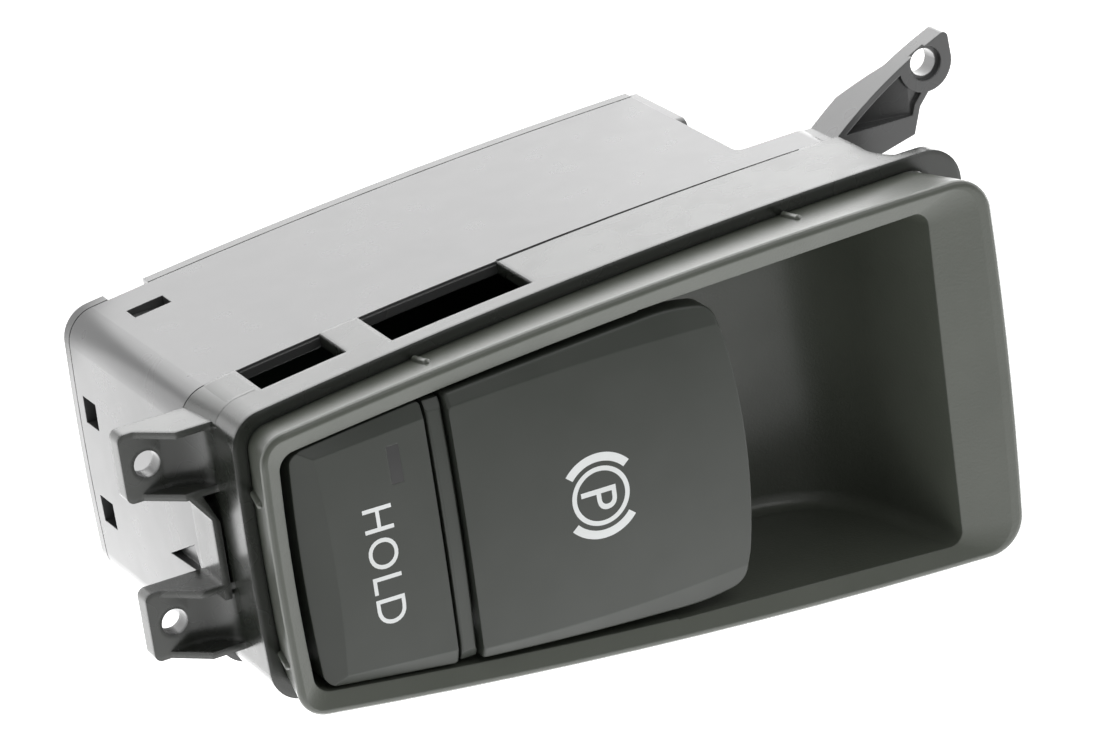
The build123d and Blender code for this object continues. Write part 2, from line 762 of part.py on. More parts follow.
def brake_plan(inset):
    """Plan of the brake button: sides that follow the lip, then turn in towards the bowed free end."""
    x0, x1, x2 = brake_start + inset, brake_bend_x, brake_free_end - brake_end_bow - inset
    y0 = side_y(x0, -rim_width - brake_gap_hinge - inset)
    y1 = side_y(x1, -rim_width - (brake_gap_hinge + brake_gap_free) / 2 - inset)
    y2 = side_y(x2, -rim_width - brake_gap_free - brake_tuck - inset)
    xm = (x0 + x1) / 2
    ym = (y0 + y1) / 2 + side_bow * ((x1 - x0) / (2 * half)) ** 2
    upper = ThreePointArc((x0, y0), (xm, ym), (x1, y1))
    turn = TangentArc((x1, y1), (x2, y2), tangent=upper % 1)
    lower, turn_low = mirror(upper, Plane.XZ), mirror(turn, Plane.XZ)
    face = closed(upper, turn, ThreePointArc((x2, y2), (x2 + brake_end_bow, 0), (x2, -y2)), turn_low, lower,
                  Line((x0, -y0), (x0, y0)))
    ends = face.vertices().sort_by(Axis.X)
    face = fillet(ends[:2], 0.6)
    ends = face.vertices().sort_by(Axis.X)
    return fillet(ends[-2:], brake_corner - inset / 2)


def make_parking_brake_button():
    """Rocker cap with a bevelled crown, hinge knuckles and the lugs that drive the slider."""
    low = lip_z - 1.2 - brake_skirt
    cap = brake_block(0, low) & prism(brake_plan(0), low, lip_z + 5)
    rim = cap.edges().filter_by(lambda e: e.center().Z > lip_z - 2.5 and e.center().X > brake_start + 1
                                and abs(e.center().Y) > side_y(0) - rim_width - brake_gap_free - 4)
    cap = fillet(rim, brake_edge_round)
    inside = brake_block(button_wall, low - 1) & prism(brake_plan(button_wall), low - 1, lip_z + 5)
    cap -= inside
    # the skirt is shallow at the hinge and at the finger grip
    free_low = lip_z - 1.2 - brake_free_skirt
    grip = xz((0, low - 1), (brake_free_end + 5, low - 1), (brake_free_end + 5, free_low), (8, free_low))
    cap -= side_slab(grip, -big, big)
    cap -= block(brake_start - 1, brake_start + button_wall + 1, -big, big, low - 1, lip_z - 5.6)
    hinge_z = lip_z - hinge_drop
    for side in (1, -1):
        y0 = post_y + post_thick / 2 + knuckle_gap
        y1 = y0 + knuckle_thick
        r = pin_radius + knuckle_wall
        knuckle = cross_rod(hinge_x, hinge_z, r, side * y0, side * y1)
        web = block(hinge_x - r, hinge_x + r, side * y0, side * y1, hinge_z, lip_z + 3)
        cap += knuckle + (web & brake_block(button_wall / 2, low))
        lug_y0 = slider_head_thick / 2 + slide_clearance
        lug_y1 = lug_y0 + slider_lug_thick
        z1 = lip_z - slider_pin_drop
        lug = block(slider_x - lug_radius, slider_x + lug_radius, side * lug_y0, side * lug_y1, z1, lip_z + 3)
        lug &= brake_block(button_wall / 2, low - 9)
        lug += cross_rod(slider_x, z1, lug_radius, side * lug_y0, side * lug_y1)
        cap += lug
    cap -= cross_rod(hinge_x, hinge_z, pin_radius + running_clearance, -pin_length, pin_length)
    cap += cross_rod(slider_x, lip_z - slider_pin_drop, slider_pin_radius, -lug_y1, lug_y1)
    return cap


def hold_block(sink, low):
    """Crowned block of the hold button's top, lowered by a wall, with a facet at the narrow end."""
    sections = []
    for x, bevel_y, edge_z, bevel_z, crown_z in (
        (hold_end - 1, 17.6, -3.4, -2.3, -2.0),
        (hold_start + 1, 19.4, -2.6, -1.6, -1.2),
    ):
        sections.append(button_section(x, side_y(x, -rim_width - hold_gap), bevel_y, lip_z + edge_z - sink,
                                       lip_z + bevel_z - sink, lip_z + crown_z - sink, low))
    body = loft(sections, ruled=True)
    facet = xz((hold_end - 2, lip_z - 4.9 - sink), (hold_end + 4.0, lip_z - 1.75 - sink),
               (hold_end + 4.0, lip_z + 9), (hold_end - 2, lip_z + 9))
    return body - side_slab(facet, -big, big)


def hold_plan(inset):
    """Plan of the hold button."""
    return plan(-rim_width - hold_gap - inset, hold_end + inset, hold_start - inset, 2.4 - inset / 2, 0.6,
                narrow_bow, 0.0)


def make_hold_button():
    """Push cap with guide legs, a stem for its spring and the window of its indicator."""
    low = lip_z - 3.0 - hold_skirt
    cap = hold_block(0, low) & prism(hold_plan(0), low, lip_z + 5)
    cap -= hold_block(button_wall, low - 1) & prism(hold_plan(button_wall), low - 1, lip_z + 5)
    s = hold_stem_half
    within = hold_block(button_wall / 2, 0)
    cap += block(hold_stem_x - s, hold_stem_x + s, -s, s, hold_foot_z, lip_z + 3) & within
    spring_seat = Pos(hold_stem_x, 0, lip_z - hold_seat_drop + 2) * Cylinder(collar_radius, 4)
    cap += spring_seat & within
    leg = hold_leg_half
    leg_x = hold_stem_x + leg
    leg_low = deck_z - deck_thick - hold_leg_reach
    catch = deck_z - deck_thick - 0.4
    for side in (1, -1):
        y = side * hold_leg_y
        cap += block(hold_stem_x - leg, leg_x, y - leg, y + leg, leg_low, lip_z + 3) & within
        barb = xz((leg_x - 0.2, catch), (leg_x + hold_barb, catch), (leg_x - 0.2, leg_low))
        cap += side_slab(barb, y - leg, y + leg)
    cap -= lens_blank()
    return cap - magnet_pocket(hold_stem_x, hold_foot_z)


def magnet_pocket(x, foot_z):
    """Pocket for a magnet in the side of a square stem, above its foot."""
    m = magnet_size / 2
    low = foot_z + magnet_lift
    return block(x - m, x + m, -slider_stem_half - 1, -slider_stem_half + magnet_sink, low, low + magnet_size)


def lens_blank():
    """Straight body of the indicator lens."""
    w, h = lens_width / 2, lens_length / 2
    return block(lens_x - w, lens_x + w, lens_y - h, lens_y + h, lip_z - lens_depth, lip_z + 2)


def make_hold_indicator_lens():
    """Clear window of the hold indicator, flush with the button."""
    low = lip_z - 3.0 - hold_skirt
    foot = lens_blank() & block(-big, big, -big, big, 0, lip_z - lens_foot_drop)
    return (lens_blank() & hold_block(0, low)) + foot


def make_divider_bar():
    """Bar between the two buttons, crowned like them, with its ends sloping down."""
    end = side_y(divider_x, -rim_width - divider_gap)
    shoulder = end - divider_end_slope
    top, low = lip_z - divider_drop, lip_z - divider_depth
    side = Plane.YZ.offset(divider_x - divider_width / 2) * make_face(Sketch() + [
        Line((-end, low), (end, low)),
        Line((end, low), (end, top - divider_end_drop)),
        Line((end, top - divider_end_drop), (shoulder, top)),
        ThreePointArc((shoulder, top), (0, top + divider_crown), (-shoulder, top)),
        Line((-shoulder, top), (-end, top - divider_end_drop)),
        Line((-end, top - divider_end_drop), (-end, low)),
    ])
    bar = extrude(side, amount=divider_width, dir=(1, 0, 0))
    return chamfer(bar.edges().filter_by(lambda e: e.length > shoulder and e.center().Z > lip_z - 3), 0.3)


def make_button_hinge_pin():
    """Steel hinge pin of the brake button."""
    pin = cross_rod(hinge_x, lip_z - hinge_drop, pin_radius, -pin_length / 2, pin_length / 2)
    return chamfer(pin.edges().filter_by(GeomType.CIRCLE), 0.3)


def make_brake_slider():
    """Slider that the brake button lifts and lowers: slotted head, collars for its springs, magnet foot."""
    z_pin = lip_z - slider_pin_drop
    head_low = deck_z + brake_spring_length
    t = slider_head_thick / 2
    head = block(slider_x - slider_head_half, slider_x + slider_head_half, -t, t,
                 head_low + collar_thick - 0.5, z_pin + slider_pin_radius + slider_head_wall)
    head = fillet(head.edges().filter_by(Axis.Y).group_by(Axis.Z)[-1], 1.0)
    slot_r = slider_pin_radius + slider_play
    slot = Plane.XZ * Pos(slider_x, z_pin) * SlotOverall(2 * slot_r + 1.8, 2 * slot_r)
    head -= side_slab(slot, -t - 1, t + 1)
    slider = head + Pos(slider_x, 0, head_low + collar_thick / 2) * Cylinder(collar_radius, collar_thick)
    s = slider_stem_half
    slider += block(slider_x - s, slider_x + s, -s, s, slider_foot_z, head_low + 1)
    slider += Pos(slider_x, 0, deck_z - deck_thick - brake_spring_length - collar_thick / 2) * Cylinder(
        collar_radius, collar_thick)
    return slider - magnet_pocket(slider_x, slider_foot_z)


def make_magnet(x, foot_z):
    """Small magnet in a stem's pocket, facing the circuit board."""
    m = magnet_size / 2
    low = foot_z + magnet_lift
    face_y = board_y + board_thick / 2 + sensor_thick + magnet_gap
    return block(x - m, x + m, face_y, -slider_stem_half + magnet_sink, low, low + magnet_size)


def make_spring(x, z0, z1, turns):
    """Compression spring, each turn drawn with straight chords to keep its facets few."""
    rise = (z1 - z0 - 2 * spring_wire) / (turns * spring_chords)
    points = []
    for step in range(turns * spring_chords + 1):
        angle = radians(360 * step / spring_chords)
        points.append((spring_mean_radius * cos(angle), spring_mean_radius * sin(angle), step * rise))
    path = Polyline(*points)
    section = Plane(origin=path @ 0, z_dir=path % 0) * RegularPolygon(spring_wire, 4)
    return Pos(x, 0, z0 + spring_wire) * sweep(section, path, transition=Transition.RIGHT)


def make_circuit_board():
    """Board standing on edge, held by its ends in the housing's grooves."""
    x0 = -housing_narrow_end + housing_wall + 0.2
    x1 = deep_end - housing_wall - 0.1
    board = block(x0, x1, board_y - board_thick / 2, board_y + board_thick / 2, board_low, board_high)
    return chamfer(board.edges().filter_by(Axis.Y), 1.0)


def make_sensor(x, z):
    """Field sensor soldered on the board beside a magnet."""
    s = sensor_size / 2
    y = board_y + board_thick / 2
    body = block(x - s, x + s, y, y + sensor_thick, z - s, z + s)
    return chamfer(body.edges().filter_by(Axis.X).group_by(Axis.Y)[-1], 0.3)


def make_connector_shroud():
    """Socket shroud in the mouth of the step's wall."""
    c = connector_half - 0.1
    x0, x1 = connector_rear, connector_face
    body = block(x0, x1, connector_y - c, connector_y + c, connector_low + 0.1, connector_high - 0.1)
    body = fillet(body.edges().filter_by(Axis.X), 1.2)
    w = connector_wall
    room = block(x0 + connector_back, x1 + 1, connector_y - c + w, connector_y + c - w, connector_low + w,
                 connector_high - w)
    body -= chamfer(room.edges().filter_by(Axis.X), 0.6)
    # keyway
    body -= block(x0 + connector_back, x1 + 1, connector_y - key_half, connector_y + key_half,
                  connector_high - w - 0.5, connector_high - w + key_depth)
    # the board passes behind the socket
    b = board_thick / 2
    body -= block(x0 - 1, deep_end - housing_wall, board_y - b, board_y + b, 0, seam_z)
    for y, z in terminal_places():
        t = terminal_size / 2
        body -= block(x0 - 1, x1, y - t, y + t, z - t, z + t)
    return body


def terminal_places():
    """Places of the terminals in the socket, as Y and Z."""
    z_mid = (connector_low + connector_high) / 2
    places = []
    for row in range(terminal_rows):
        for column in range(terminal_columns):
            y = connector_y + terminal_shift + (column - (terminal_columns - 1) / 2) * terminal_pitch
            places.append((y, z_mid + (row - (terminal_rows - 1) / 2) * terminal_row_pitch))
    return places


def make_terminal(y, z, x_tail):
    """Square terminal, bent over to the circuit board."""
    t = terminal_size / 2
    pin = block(x_tail, connector_rear + connector_back + terminal_reach, y - t, y + t, z - t, z + t)
    tip = pin.faces().sort_by(Axis.X)[-1]
    pin = chamfer(tip.edges(), 0.2)
    leg = block(x_tail, x_tail + 2 * t, board_y + board_thick / 2, y, z - t, z + t)
    return pin + leg


def make_light_guide():
    """Clear rod that lights the symbol, standing in the deck."""
    z0 = deck_z - deck_thick - guide_below
    z1 = lip_z - guide_drop
    rod = Pos(guide_x, 0, (z0 + z1) / 2) * Cylinder(guide_radius, z1 - z0)
    rod += Pos(guide_x, 0, deck_z + 0.6) * Cylinder(guide_radius + 1, 1.2)
    return rod


def make_symbol_led():
    """Light source on the board, beside the light guide's foot."""
    y = board_y + board_thick / 2
    return block(guide_x - 1.4, guide_x + 1.4, y, y + 1.2, led_z - 1, led_z + 1)


def main():
    """Builds every piece and writes one file for each."""
    os.makedirs("parts", exist_ok=True)
    brake_field = slider_foot_z + magnet_lift + magnet_size / 2
    hold_field = hold_foot_z + magnet_lift + magnet_size / 2
    pieces = {
        "bezel": make_bezel(),
        "front_carrier": make_front_carrier(),
        "rear_housing": make_rear_housing(),
        "bottom_cover": make_bottom_cover(),
        "parking_brake_button": make_parking_brake_button(),
        "hold_button": make_hold_button(),
        "hold_indicator_lens": make_hold_indicator_lens(),
        "divider_bar": make_divider_bar(),
        "button_hinge_pin": make_button_hinge_pin(),
        "brake_slider": make_brake_slider(),
        "brake_magnet": make_magnet(slider_x, slider_foot_z),
        "hold_magnet": make_magnet(hold_stem_x, hold_foot_z),
        "upper_brake_spring": make_spring(slider_x, deck_z, deck_z + brake_spring_length, 4),
        "lower_brake_spring": make_spring(slider_x, deck_z - deck_thick - brake_spring_length,
                                          deck_z - deck_thick, 4),
        "hold_spring": make_spring(hold_stem_x, deck_z, lip_z - hold_seat_drop, 5),
        "circuit_board": make_circuit_board(),
        "pull_sensor": make_sensor(slider_x, brake_field + sensor_up),
        "push_sensor": make_sensor(slider_x, brake_field - sensor_down),
        "hold_sensor": make_sensor(hold_stem_x, hold_field - sensor_down),
        "symbol_led": make_symbol_led(),
        "symbol_light_guide": make_light_guide(),
        "connector_shroud": make_connector_shroud(),
    }
    x_tail = connector_rear - terminal_tail
    for number, (y, z) in enumerate(terminal_places(), 1):
        column = (number - 1) % terminal_columns
        pieces[f"terminal_{number}"] = make_terminal(y, z, x_tail - column * terminal_stagger)
    for name, shape in pieces.items():
        export_step(shape, f"parts/{name}.step")


main()
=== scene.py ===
"""Looks of the parking brake switch: materials, printed legends, studio and the photograph's camera."""
import math
import bpy
from mathutils import Matrix, Vector
from mathutils.bvhtree import BVHTree


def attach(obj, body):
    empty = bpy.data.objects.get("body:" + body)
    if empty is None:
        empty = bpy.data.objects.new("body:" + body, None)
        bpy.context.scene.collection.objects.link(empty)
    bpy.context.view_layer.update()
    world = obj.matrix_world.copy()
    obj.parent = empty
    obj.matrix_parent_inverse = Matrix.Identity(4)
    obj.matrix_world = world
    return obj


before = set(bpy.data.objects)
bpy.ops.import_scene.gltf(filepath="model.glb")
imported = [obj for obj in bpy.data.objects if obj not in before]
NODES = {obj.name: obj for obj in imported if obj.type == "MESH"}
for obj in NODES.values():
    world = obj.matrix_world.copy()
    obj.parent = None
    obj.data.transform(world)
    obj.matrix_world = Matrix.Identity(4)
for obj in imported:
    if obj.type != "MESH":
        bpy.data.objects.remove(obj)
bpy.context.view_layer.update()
MM = 0.001
DOWN = Vector((0, 0, -1))

# Camera of the photograph: its place in metres, the way its picture lies, and its lens in millimetres
CAMERA_PLACE = Vector((-0.29731, 0.30234, 0.71815))
IMAGE_RIGHT = Vector((0.8849, -0.1303, 0.4472))
IMAGE_DOWN = Vector((-0.277, -0.9191, 0.2804))
SENSOR_WIDTH = 36.0
LENS = 162.16
CLIP_START = 0.01

# Sky: brightest low on the side that lies at the bottom of the photograph, and white to the camera
SKY_TOWARDS = Vector((0.1, -0.9, -0.36)).normalized()
SKY_RAMP = (-0.23, 0.32)
SKY_BRIGHT = 2.5
SKY_DARK = 0.46
SKY_SEEN = 1.0

# Softbox behind the part, in metres and watts
KEY_PLACE = Vector((0.25, 0.55, 0.35))
KEY_AIM = Vector((0, 0, 0.05))
KEY_SIZE = 0.6
KEY_POWER = 1.2

# Floor: a pale square just below the part, white to the camera, in metres
FLOOR_HALF = 3.0
FLOOR_LEVEL = -0.4 * MM
FLOOR_WHITE = 0.85
FLOOR_SEEN = 1.0

# Painted reflection: the floor glows only to glossy rays, painting a sheen onto glossy walls; weaker past the end
# with the ears, with a painted darker band across that corner
SHEEN = 2.35
SHEEN_TOWARDS = Vector((1.0, 0.0, 0.0))
SHEEN_FADE = (-0.095, -0.05)
SHEEN_LOW = 0.5
BAND_ACROSS = Vector((1.0, 1.0, 0.0))
BAND_MIDDLE = -0.042
BAND_REACH = (0.003, 0.014)
BAND_LOW = 0.4

# Moulded plastic: noise scales per metre, relief in metres, and how finely softened edges are looked for
NOISE_MIDDLE = (0.3, 0.7)
TONE_SCALE = 90.0
TONE_DETAIL = 4.0
POLISH_SCALE = 160.0
WAVE_SCALE = 60.0
WAVE_DEPTH = 1.0 * MM
GRAIN_DEPTH = 0.06 * MM
GRAIN_DETAIL = 3.0
FINE_SHARE = 0.6
EDGE_SAMPLES = 4

# Rays that find the surfaces under prints and skins start this far outside, in metres
RAY_HEIGHT = 0.2
RAY_OUT = 0.1

# Painted shadow: dark strip along the seam between the rear housing and the front carrier, in millimetres
SEAM_START = -8.85
SEAM_END = 46.0
SEAM_WIDE = 0.75
SEAM_NARROW = 0.22
SEAM_STEPS = 40
SKIN_LIFT = 0.03

# Blend from the housing's corner to the wider corner of the carrier, in millimetres and degrees
BLEND_CENTRE = (-54.0, 15.5)
BLEND_ANGLES = (98.0, 157.0)
BLEND_LOW = 1.2
BLEND_HIGH = 9.5
BLEND_STEPS = 16

# Printed legends, in millimetres and degrees
PRINT_LIFT = 0.03
SYMBOL_CENTRE = (-10.03, -0.73)
RING_RADIUS = 4.48
RING_STROKE = 0.78
RING_STEPS = 96
ARC_RADIUS = 6.35
ARC_STROKE = 1.4
ARC_MIDDLES = (90, 270)
ARC_HALF_ANGLE = 50.0
ARC_STEPS = 32
LETTER_SHIFT = (-0.34, -0.6)
LETTER_HEIGHT = 5.9
WORD_CENTRE = (-45.75, -1.9)
WORD_HEIGHT = 4.85
WORD_SPACING = 1.08
CAPITAL_SHARE = 0.72
CURVE_STEPS = 6


def empty_tree(owner):
    """Node tree of a material or world, with nothing in it."""
    owner.use_nodes = True
    owner.node_tree.nodes.clear()
    return owner.node_tree


def noise(tree, coords, scale, detail, fine=0.5):
    """Noise texture in object space."""
    node = tree.nodes.new("ShaderNodeTexNoise")
    node.inputs["Scale"].default_value = scale
    node.inputs["Detail"].default_value = detail
    node.inputs["Roughness"].default_value = fine
    tree.links.new(coords, node.inputs["Vector"])
    return node.outputs["Fac"]


def ramp(tree, value, limits, low, high, smooth=False):
    """Change from one value to another while the input goes from one limit to the other."""
    node = tree.nodes.new("ShaderNodeMapRange")
    if smooth:
        node.interpolation_type = "SMOOTHSTEP"
    node.inputs["From Min"].default_value = limits[0]
    node.inputs["From Max"].default_value = limits[1]
    node.inputs["To Min"].default_value = low
    node.inputs["To Max"].default_value = high
    tree.links.new(value, node.inputs["Value"])
    return node.outputs["Result"]


def along(tree, vector, towards):
    """How far a vector reaches along one direction."""
    node = tree.nodes.new("ShaderNodeVectorMath")
    node.operation = "DOT_PRODUCT"
    node.inputs[1].default_value = towards
    tree.links.new(vector, node.inputs[0])
    return node.outputs["Value"]


def calculate(tree, operation, first, second=None):
    """Math node on a socket and, where it takes two, on another socket or a number."""
    node = tree.nodes.new("ShaderNodeMath")
    node.operation = operation
    tree.links.new(first, node.inputs[0])
    if isinstance(second, float):
        node.inputs[1].default_value = second
    elif second is not None:
        tree.links.new(second, node.inputs[1])
    return node.outputs["Value"]


def bump(tree, height, distance, strength, below):
    """Bump node, chained on another normal if there is one."""
    node = tree.nodes.new("ShaderNodeBump")
    node.inputs["Distance"].default_value = distance
    node.inputs["Strength"].default_value = strength
    tree.links.new(height, node.inputs["Height"])
    if below is not None:
        tree.links.new(below, node.inputs["Normal"])
    return node.outputs["Normal"]


def plastic(name, dark, light, rough_low, rough_high, grain=0.0, grain_scale=3000.0, wave=0.0, specular=0.5,
            coat=0.0, coat_rough=0.1, metallic=0.0, edge=0.0, detail=1.0):
    """Moulded plastic: mottled colour, uneven roughness, fine grain, sink waves and softened edges."""
    material = bpy.data.materials.new(name)
    tree = empty_tree(material)
    out = tree.nodes.new("ShaderNodeOutputMaterial")
    shader = tree.nodes.new("ShaderNodeBsdfPrincipled")
    tree.links.new(shader.outputs["BSDF"], out.inputs["Surface"])
    coords = tree.nodes.new("ShaderNodeTexCoord").outputs["Object"]
    mix = tree.nodes.new("ShaderNodeMix")
    mix.data_type = "RGBA"
    mix.inputs["A"].default_value = (*dark, 1)
    mix.inputs["B"].default_value = (*light, 1)
    tone = noise(tree, coords, TONE_SCALE, TONE_DETAIL)
    tree.links.new(ramp(tree, tone, NOISE_MIDDLE, 0.0, 1.0), mix.inputs["Factor"])
    tree.links.new(mix.outputs["Result"], shader.inputs["Base Color"])
    polish = noise(tree, coords, POLISH_SCALE, detail, FINE_SHARE)
    tree.links.new(ramp(tree, polish, NOISE_MIDDLE, rough_low, rough_high), shader.inputs["Roughness"])
    normal = None
    if edge:
        soft = tree.nodes.new("ShaderNodeBevel")
        soft.samples = EDGE_SAMPLES
        soft.inputs["Radius"].default_value = edge * MM
        normal = soft.outputs["Normal"]
    if wave:
        normal = bump(tree, noise(tree, coords, WAVE_SCALE, 1.0), WAVE_DEPTH, wave, normal)
    if grain:
        height = noise(tree, coords, grain_scale, GRAIN_DETAIL, FINE_SHARE)
        normal = bump(tree, height, GRAIN_DEPTH, grain, normal)
    if normal is not None:
        tree.links.new(normal, shader.inputs["Normal"])
    shader.inputs["Specular IOR Level"].default_value = specular
    shader.inputs["Coat Weight"].default_value = coat
    shader.inputs["Coat Roughness"].default_value = coat_rough
    shader.inputs["Metallic"].default_value = metallic
    return material


def dress(node, material):
    """Gives a CAD node one material."""
    mesh = NODES[node].data
    mesh.materials.clear()
    mesh.materials.append(material)


def make_materials():
    """Assigns a finish to every node."""
    bezel = plastic("bezel_grain", (0.075, 0.083, 0.067), (0.085, 0.093, 0.076), 0.34, 0.42, detail=5.0,
                    grain=0.8, grain_scale=2200.0, specular=0.5, coat=0.5, coat_rough=0.24, edge=0.4)
    shell = plastic("housing_gloss", (0.066, 0.067, 0.067), (0.074, 0.075, 0.075), 0.27, 0.31,
                    wave=0.008, specular=0.6, coat=0.5, coat_rough=0.2, edge=0.3)
    carrier = plastic("carrier_gloss", (0.022, 0.025, 0.02), (0.028, 0.031, 0.026), 0.22, 0.32,
                      wave=0.012, specular=0.6, coat=0.5, coat_rough=0.2, edge=1.1)
    cap = plastic("button_satin", (0.037, 0.042, 0.035), (0.043, 0.048, 0.041), 0.3, 0.36,
                  grain=0.04, grain_scale=3500.0, specular=0.5, edge=0.35)
    inner = plastic("inner_plastic", (0.5, 0.49, 0.46), (0.56, 0.55, 0.52), 0.4, 0.55, grain=0.2)
    board = plastic("board_mask", (0.02, 0.12, 0.05), (0.03, 0.16, 0.07), 0.25, 0.4, grain=0.1)
    chip = plastic("chip_body", (0.02, 0.02, 0.02), (0.035, 0.035, 0.035), 0.45, 0.6, grain=0.3)
    steel = plastic("spring_wire", (0.5, 0.5, 0.5), (0.6, 0.6, 0.6), 0.25, 0.4, metallic=1.0)
    brass = plastic("terminal_plate", (0.7, 0.55, 0.28), (0.8, 0.65, 0.35), 0.25, 0.4, metallic=1.0)
    lens = plastic("lens_smoke", (0.03, 0.03, 0.03), (0.045, 0.045, 0.045), 0.12, 0.2, specular=0.5)
    guide = plastic("guide_clear", (0.7, 0.72, 0.72), (0.78, 0.8, 0.8), 0.1, 0.2)
    chosen = {
        "bezel": bezel, "front_carrier": carrier, "rear_housing": shell, "bottom_cover": shell,
        "parking_brake_button": cap, "hold_button": cap, "divider_bar": cap, "hold_indicator_lens": lens,
        "brake_slider": inner, "circuit_board": board, "connector_shroud": chip, "symbol_light_guide": guide,
        "symbol_led": inner, "button_hinge_pin": steel, "brake_magnet": steel, "hold_magnet": steel,
    }
    for node in NODES:
        if node.endswith("spring"):
            dress(node, steel)
        elif node.startswith("terminal_"):
            dress(node, brass)
        else:
            dress(node, chosen.get(node, chip))


def link(name, mesh):
    """Puts a mesh into the scene as a new object."""
    obj = bpy.data.objects.new(name, mesh)
    bpy.context.scene.collection.objects.link(obj)
    return obj


def mesh_object(name, verts, faces):
    """Object made of given corners and faces."""
    mesh = bpy.data.meshes.new(name)
    mesh.from_pydata(verts, [], faces)
    mesh.update()
    return link(name, mesh)


def strip_object(name, verts, steps, turned=False):
    """Strip of two rows of faces on three corners per station, turned over if its corners run the other way."""
    faces = []
    for i in range(steps):
        for a in (3 * i, 3 * i + 1):
            faces.append((a, a + 3, a + 4, a + 1) if turned else (a, a + 1, a + 4, a + 3))
    return mesh_object(name, verts, faces)


def surface_of(node):
    """Tree for finding points on a node's surface."""
    mesh = NODES[node].data
    return BVHTree.FromPolygons([v.co for v in mesh.vertices], [p.vertices for p in mesh.polygons])


def top_of(node):
    """Height of a node's highest point."""
    return max(v.co.z for v in NODES[node].data.vertices)


def drop(surface, x, y):
    """Point on the surface below a plan position, lifted by the thickness of the print."""
    hit = surface.ray_cast(Vector((x, y, RAY_HEIGHT)), DOWN)
    return hit[0] + hit[1] * PRINT_LIFT * MM


def side_hit(surface, place, inward):
    """Point and normal where a level ray from outside meets a surface."""
    hit = surface.ray_cast(place - inward * RAY_OUT, inward)
    return hit[0], hit[1]


def make_painted_seam_shadow():
    """Painted shadow: a dark strip along the seam of the long wall, widest beside the hook window, standing in
    for the shade in the gap.
    """
    carrier = surface_of("front_carrier")
    seam_z = top_of("rear_housing")
    verts = []
    for i in range(SEAM_STEPS + 1):
        part = i / SEAM_STEPS
        x = (SEAM_START + (SEAM_END - SEAM_START) * part) * MM
        width = (SEAM_WIDE + (SEAM_NARROW - SEAM_WIDE) * part) * MM
        wall, normal = side_hit(carrier, Vector((x, 0.0, seam_z + SEAM_WIDE * MM)), Vector((0, -1, 0)))
        outside = wall + normal * SKIN_LIFT * MM
        for rise in (0.0, width / 2, width):
            verts.append(Vector((outside.x, outside.y, seam_z + rise)))
    # Dark strip that paints the shadow in the seam's gap
    seam = strip_object("seam_shadow_strip", verts, SEAM_STEPS)
    shade = plastic("seam_painted_shade", (0.004, 0.004, 0.004), (0.008, 0.008, 0.008), 0.7, 0.8, grain=0.1, specular=0.1)
    seam.data.materials.append(shade)
    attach(seam, "housing")


def make_corner_blend(material):
    """Smooth corner skin between the housing's corner and the wider corner of the carrier."""
    housing = surface_of("rear_housing")
    carrier = surface_of("front_carrier")
    seam_z = top_of("rear_housing")
    first, last = BLEND_ANGLES
    verts = []
    for i in range(BLEND_STEPS + 1):
        angle = math.radians(first + (last - first) * i / BLEND_STEPS)
        inward = -Vector((math.cos(angle), math.sin(angle), 0))
        axis = Vector((BLEND_CENTRE[0] * MM, BLEND_CENTRE[1] * MM, seam_z))
        low = side_hit(housing, axis + DOWN * BLEND_LOW * MM, inward)[0]
        high = side_hit(carrier, axis - DOWN * BLEND_HIGH * MM, inward)[0]
        low.z = seam_z
        verts += [low, (low + high) / 2, high - inward * SKIN_LIFT * MM]
    blend = strip_object("corner_blend", verts, BLEND_STEPS, turned=True)
    for polygon in blend.data.polygons:
        polygon.use_smooth = True
    blend.data.materials.append(material)
    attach(blend, "housing")


def stroke(surface, name, radius, width, start, end, steps):
    """Ring or arc of the pictogram, from one angle to another."""
    verts = []
    for i in range(steps + 1):
        angle = math.radians(start + (end - start) * i / steps)
        for r in (radius - width / 2, radius, radius + width / 2):
            x = (SYMBOL_CENTRE[0] + r * math.cos(angle)) * MM
            y = (SYMBOL_CENTRE[1] + r * math.sin(angle)) * MM
            verts.append(drop(surface, x, y))
    return strip_object(name, verts, steps)


def lettering(surface, name, text, height, centre, spacing=1.0):
    """Printed word, read along -Y with its top towards +X, laid on the cap."""
    curve = bpy.data.curves.new(name + "_curve", "FONT")
    curve.body = text
    curve.size = height / CAPITAL_SHARE * MM
    curve.space_character = spacing
    curve.resolution_u = CURVE_STEPS
    flat = link(name + "_flat", curve)
    bpy.context.view_layer.update()
    mesh = bpy.data.meshes.new_from_object(flat)
    bpy.data.objects.remove(flat)
    xs = [v.co.x for v in mesh.vertices]
    ys = [v.co.y for v in mesh.vertices]
    tall = height * MM / (max(ys) - min(ys))
    middle_x, middle_y = (max(xs) + min(xs)) / 2, (max(ys) + min(ys)) / 2
    for v in mesh.vertices:
        onward, up = (v.co.x - middle_x) * tall, (v.co.y - middle_y) * tall
        v.co = drop(surface, centre[0] * MM + up, centre[1] * MM - onward)
    mesh.name = name
    return link(name, mesh)


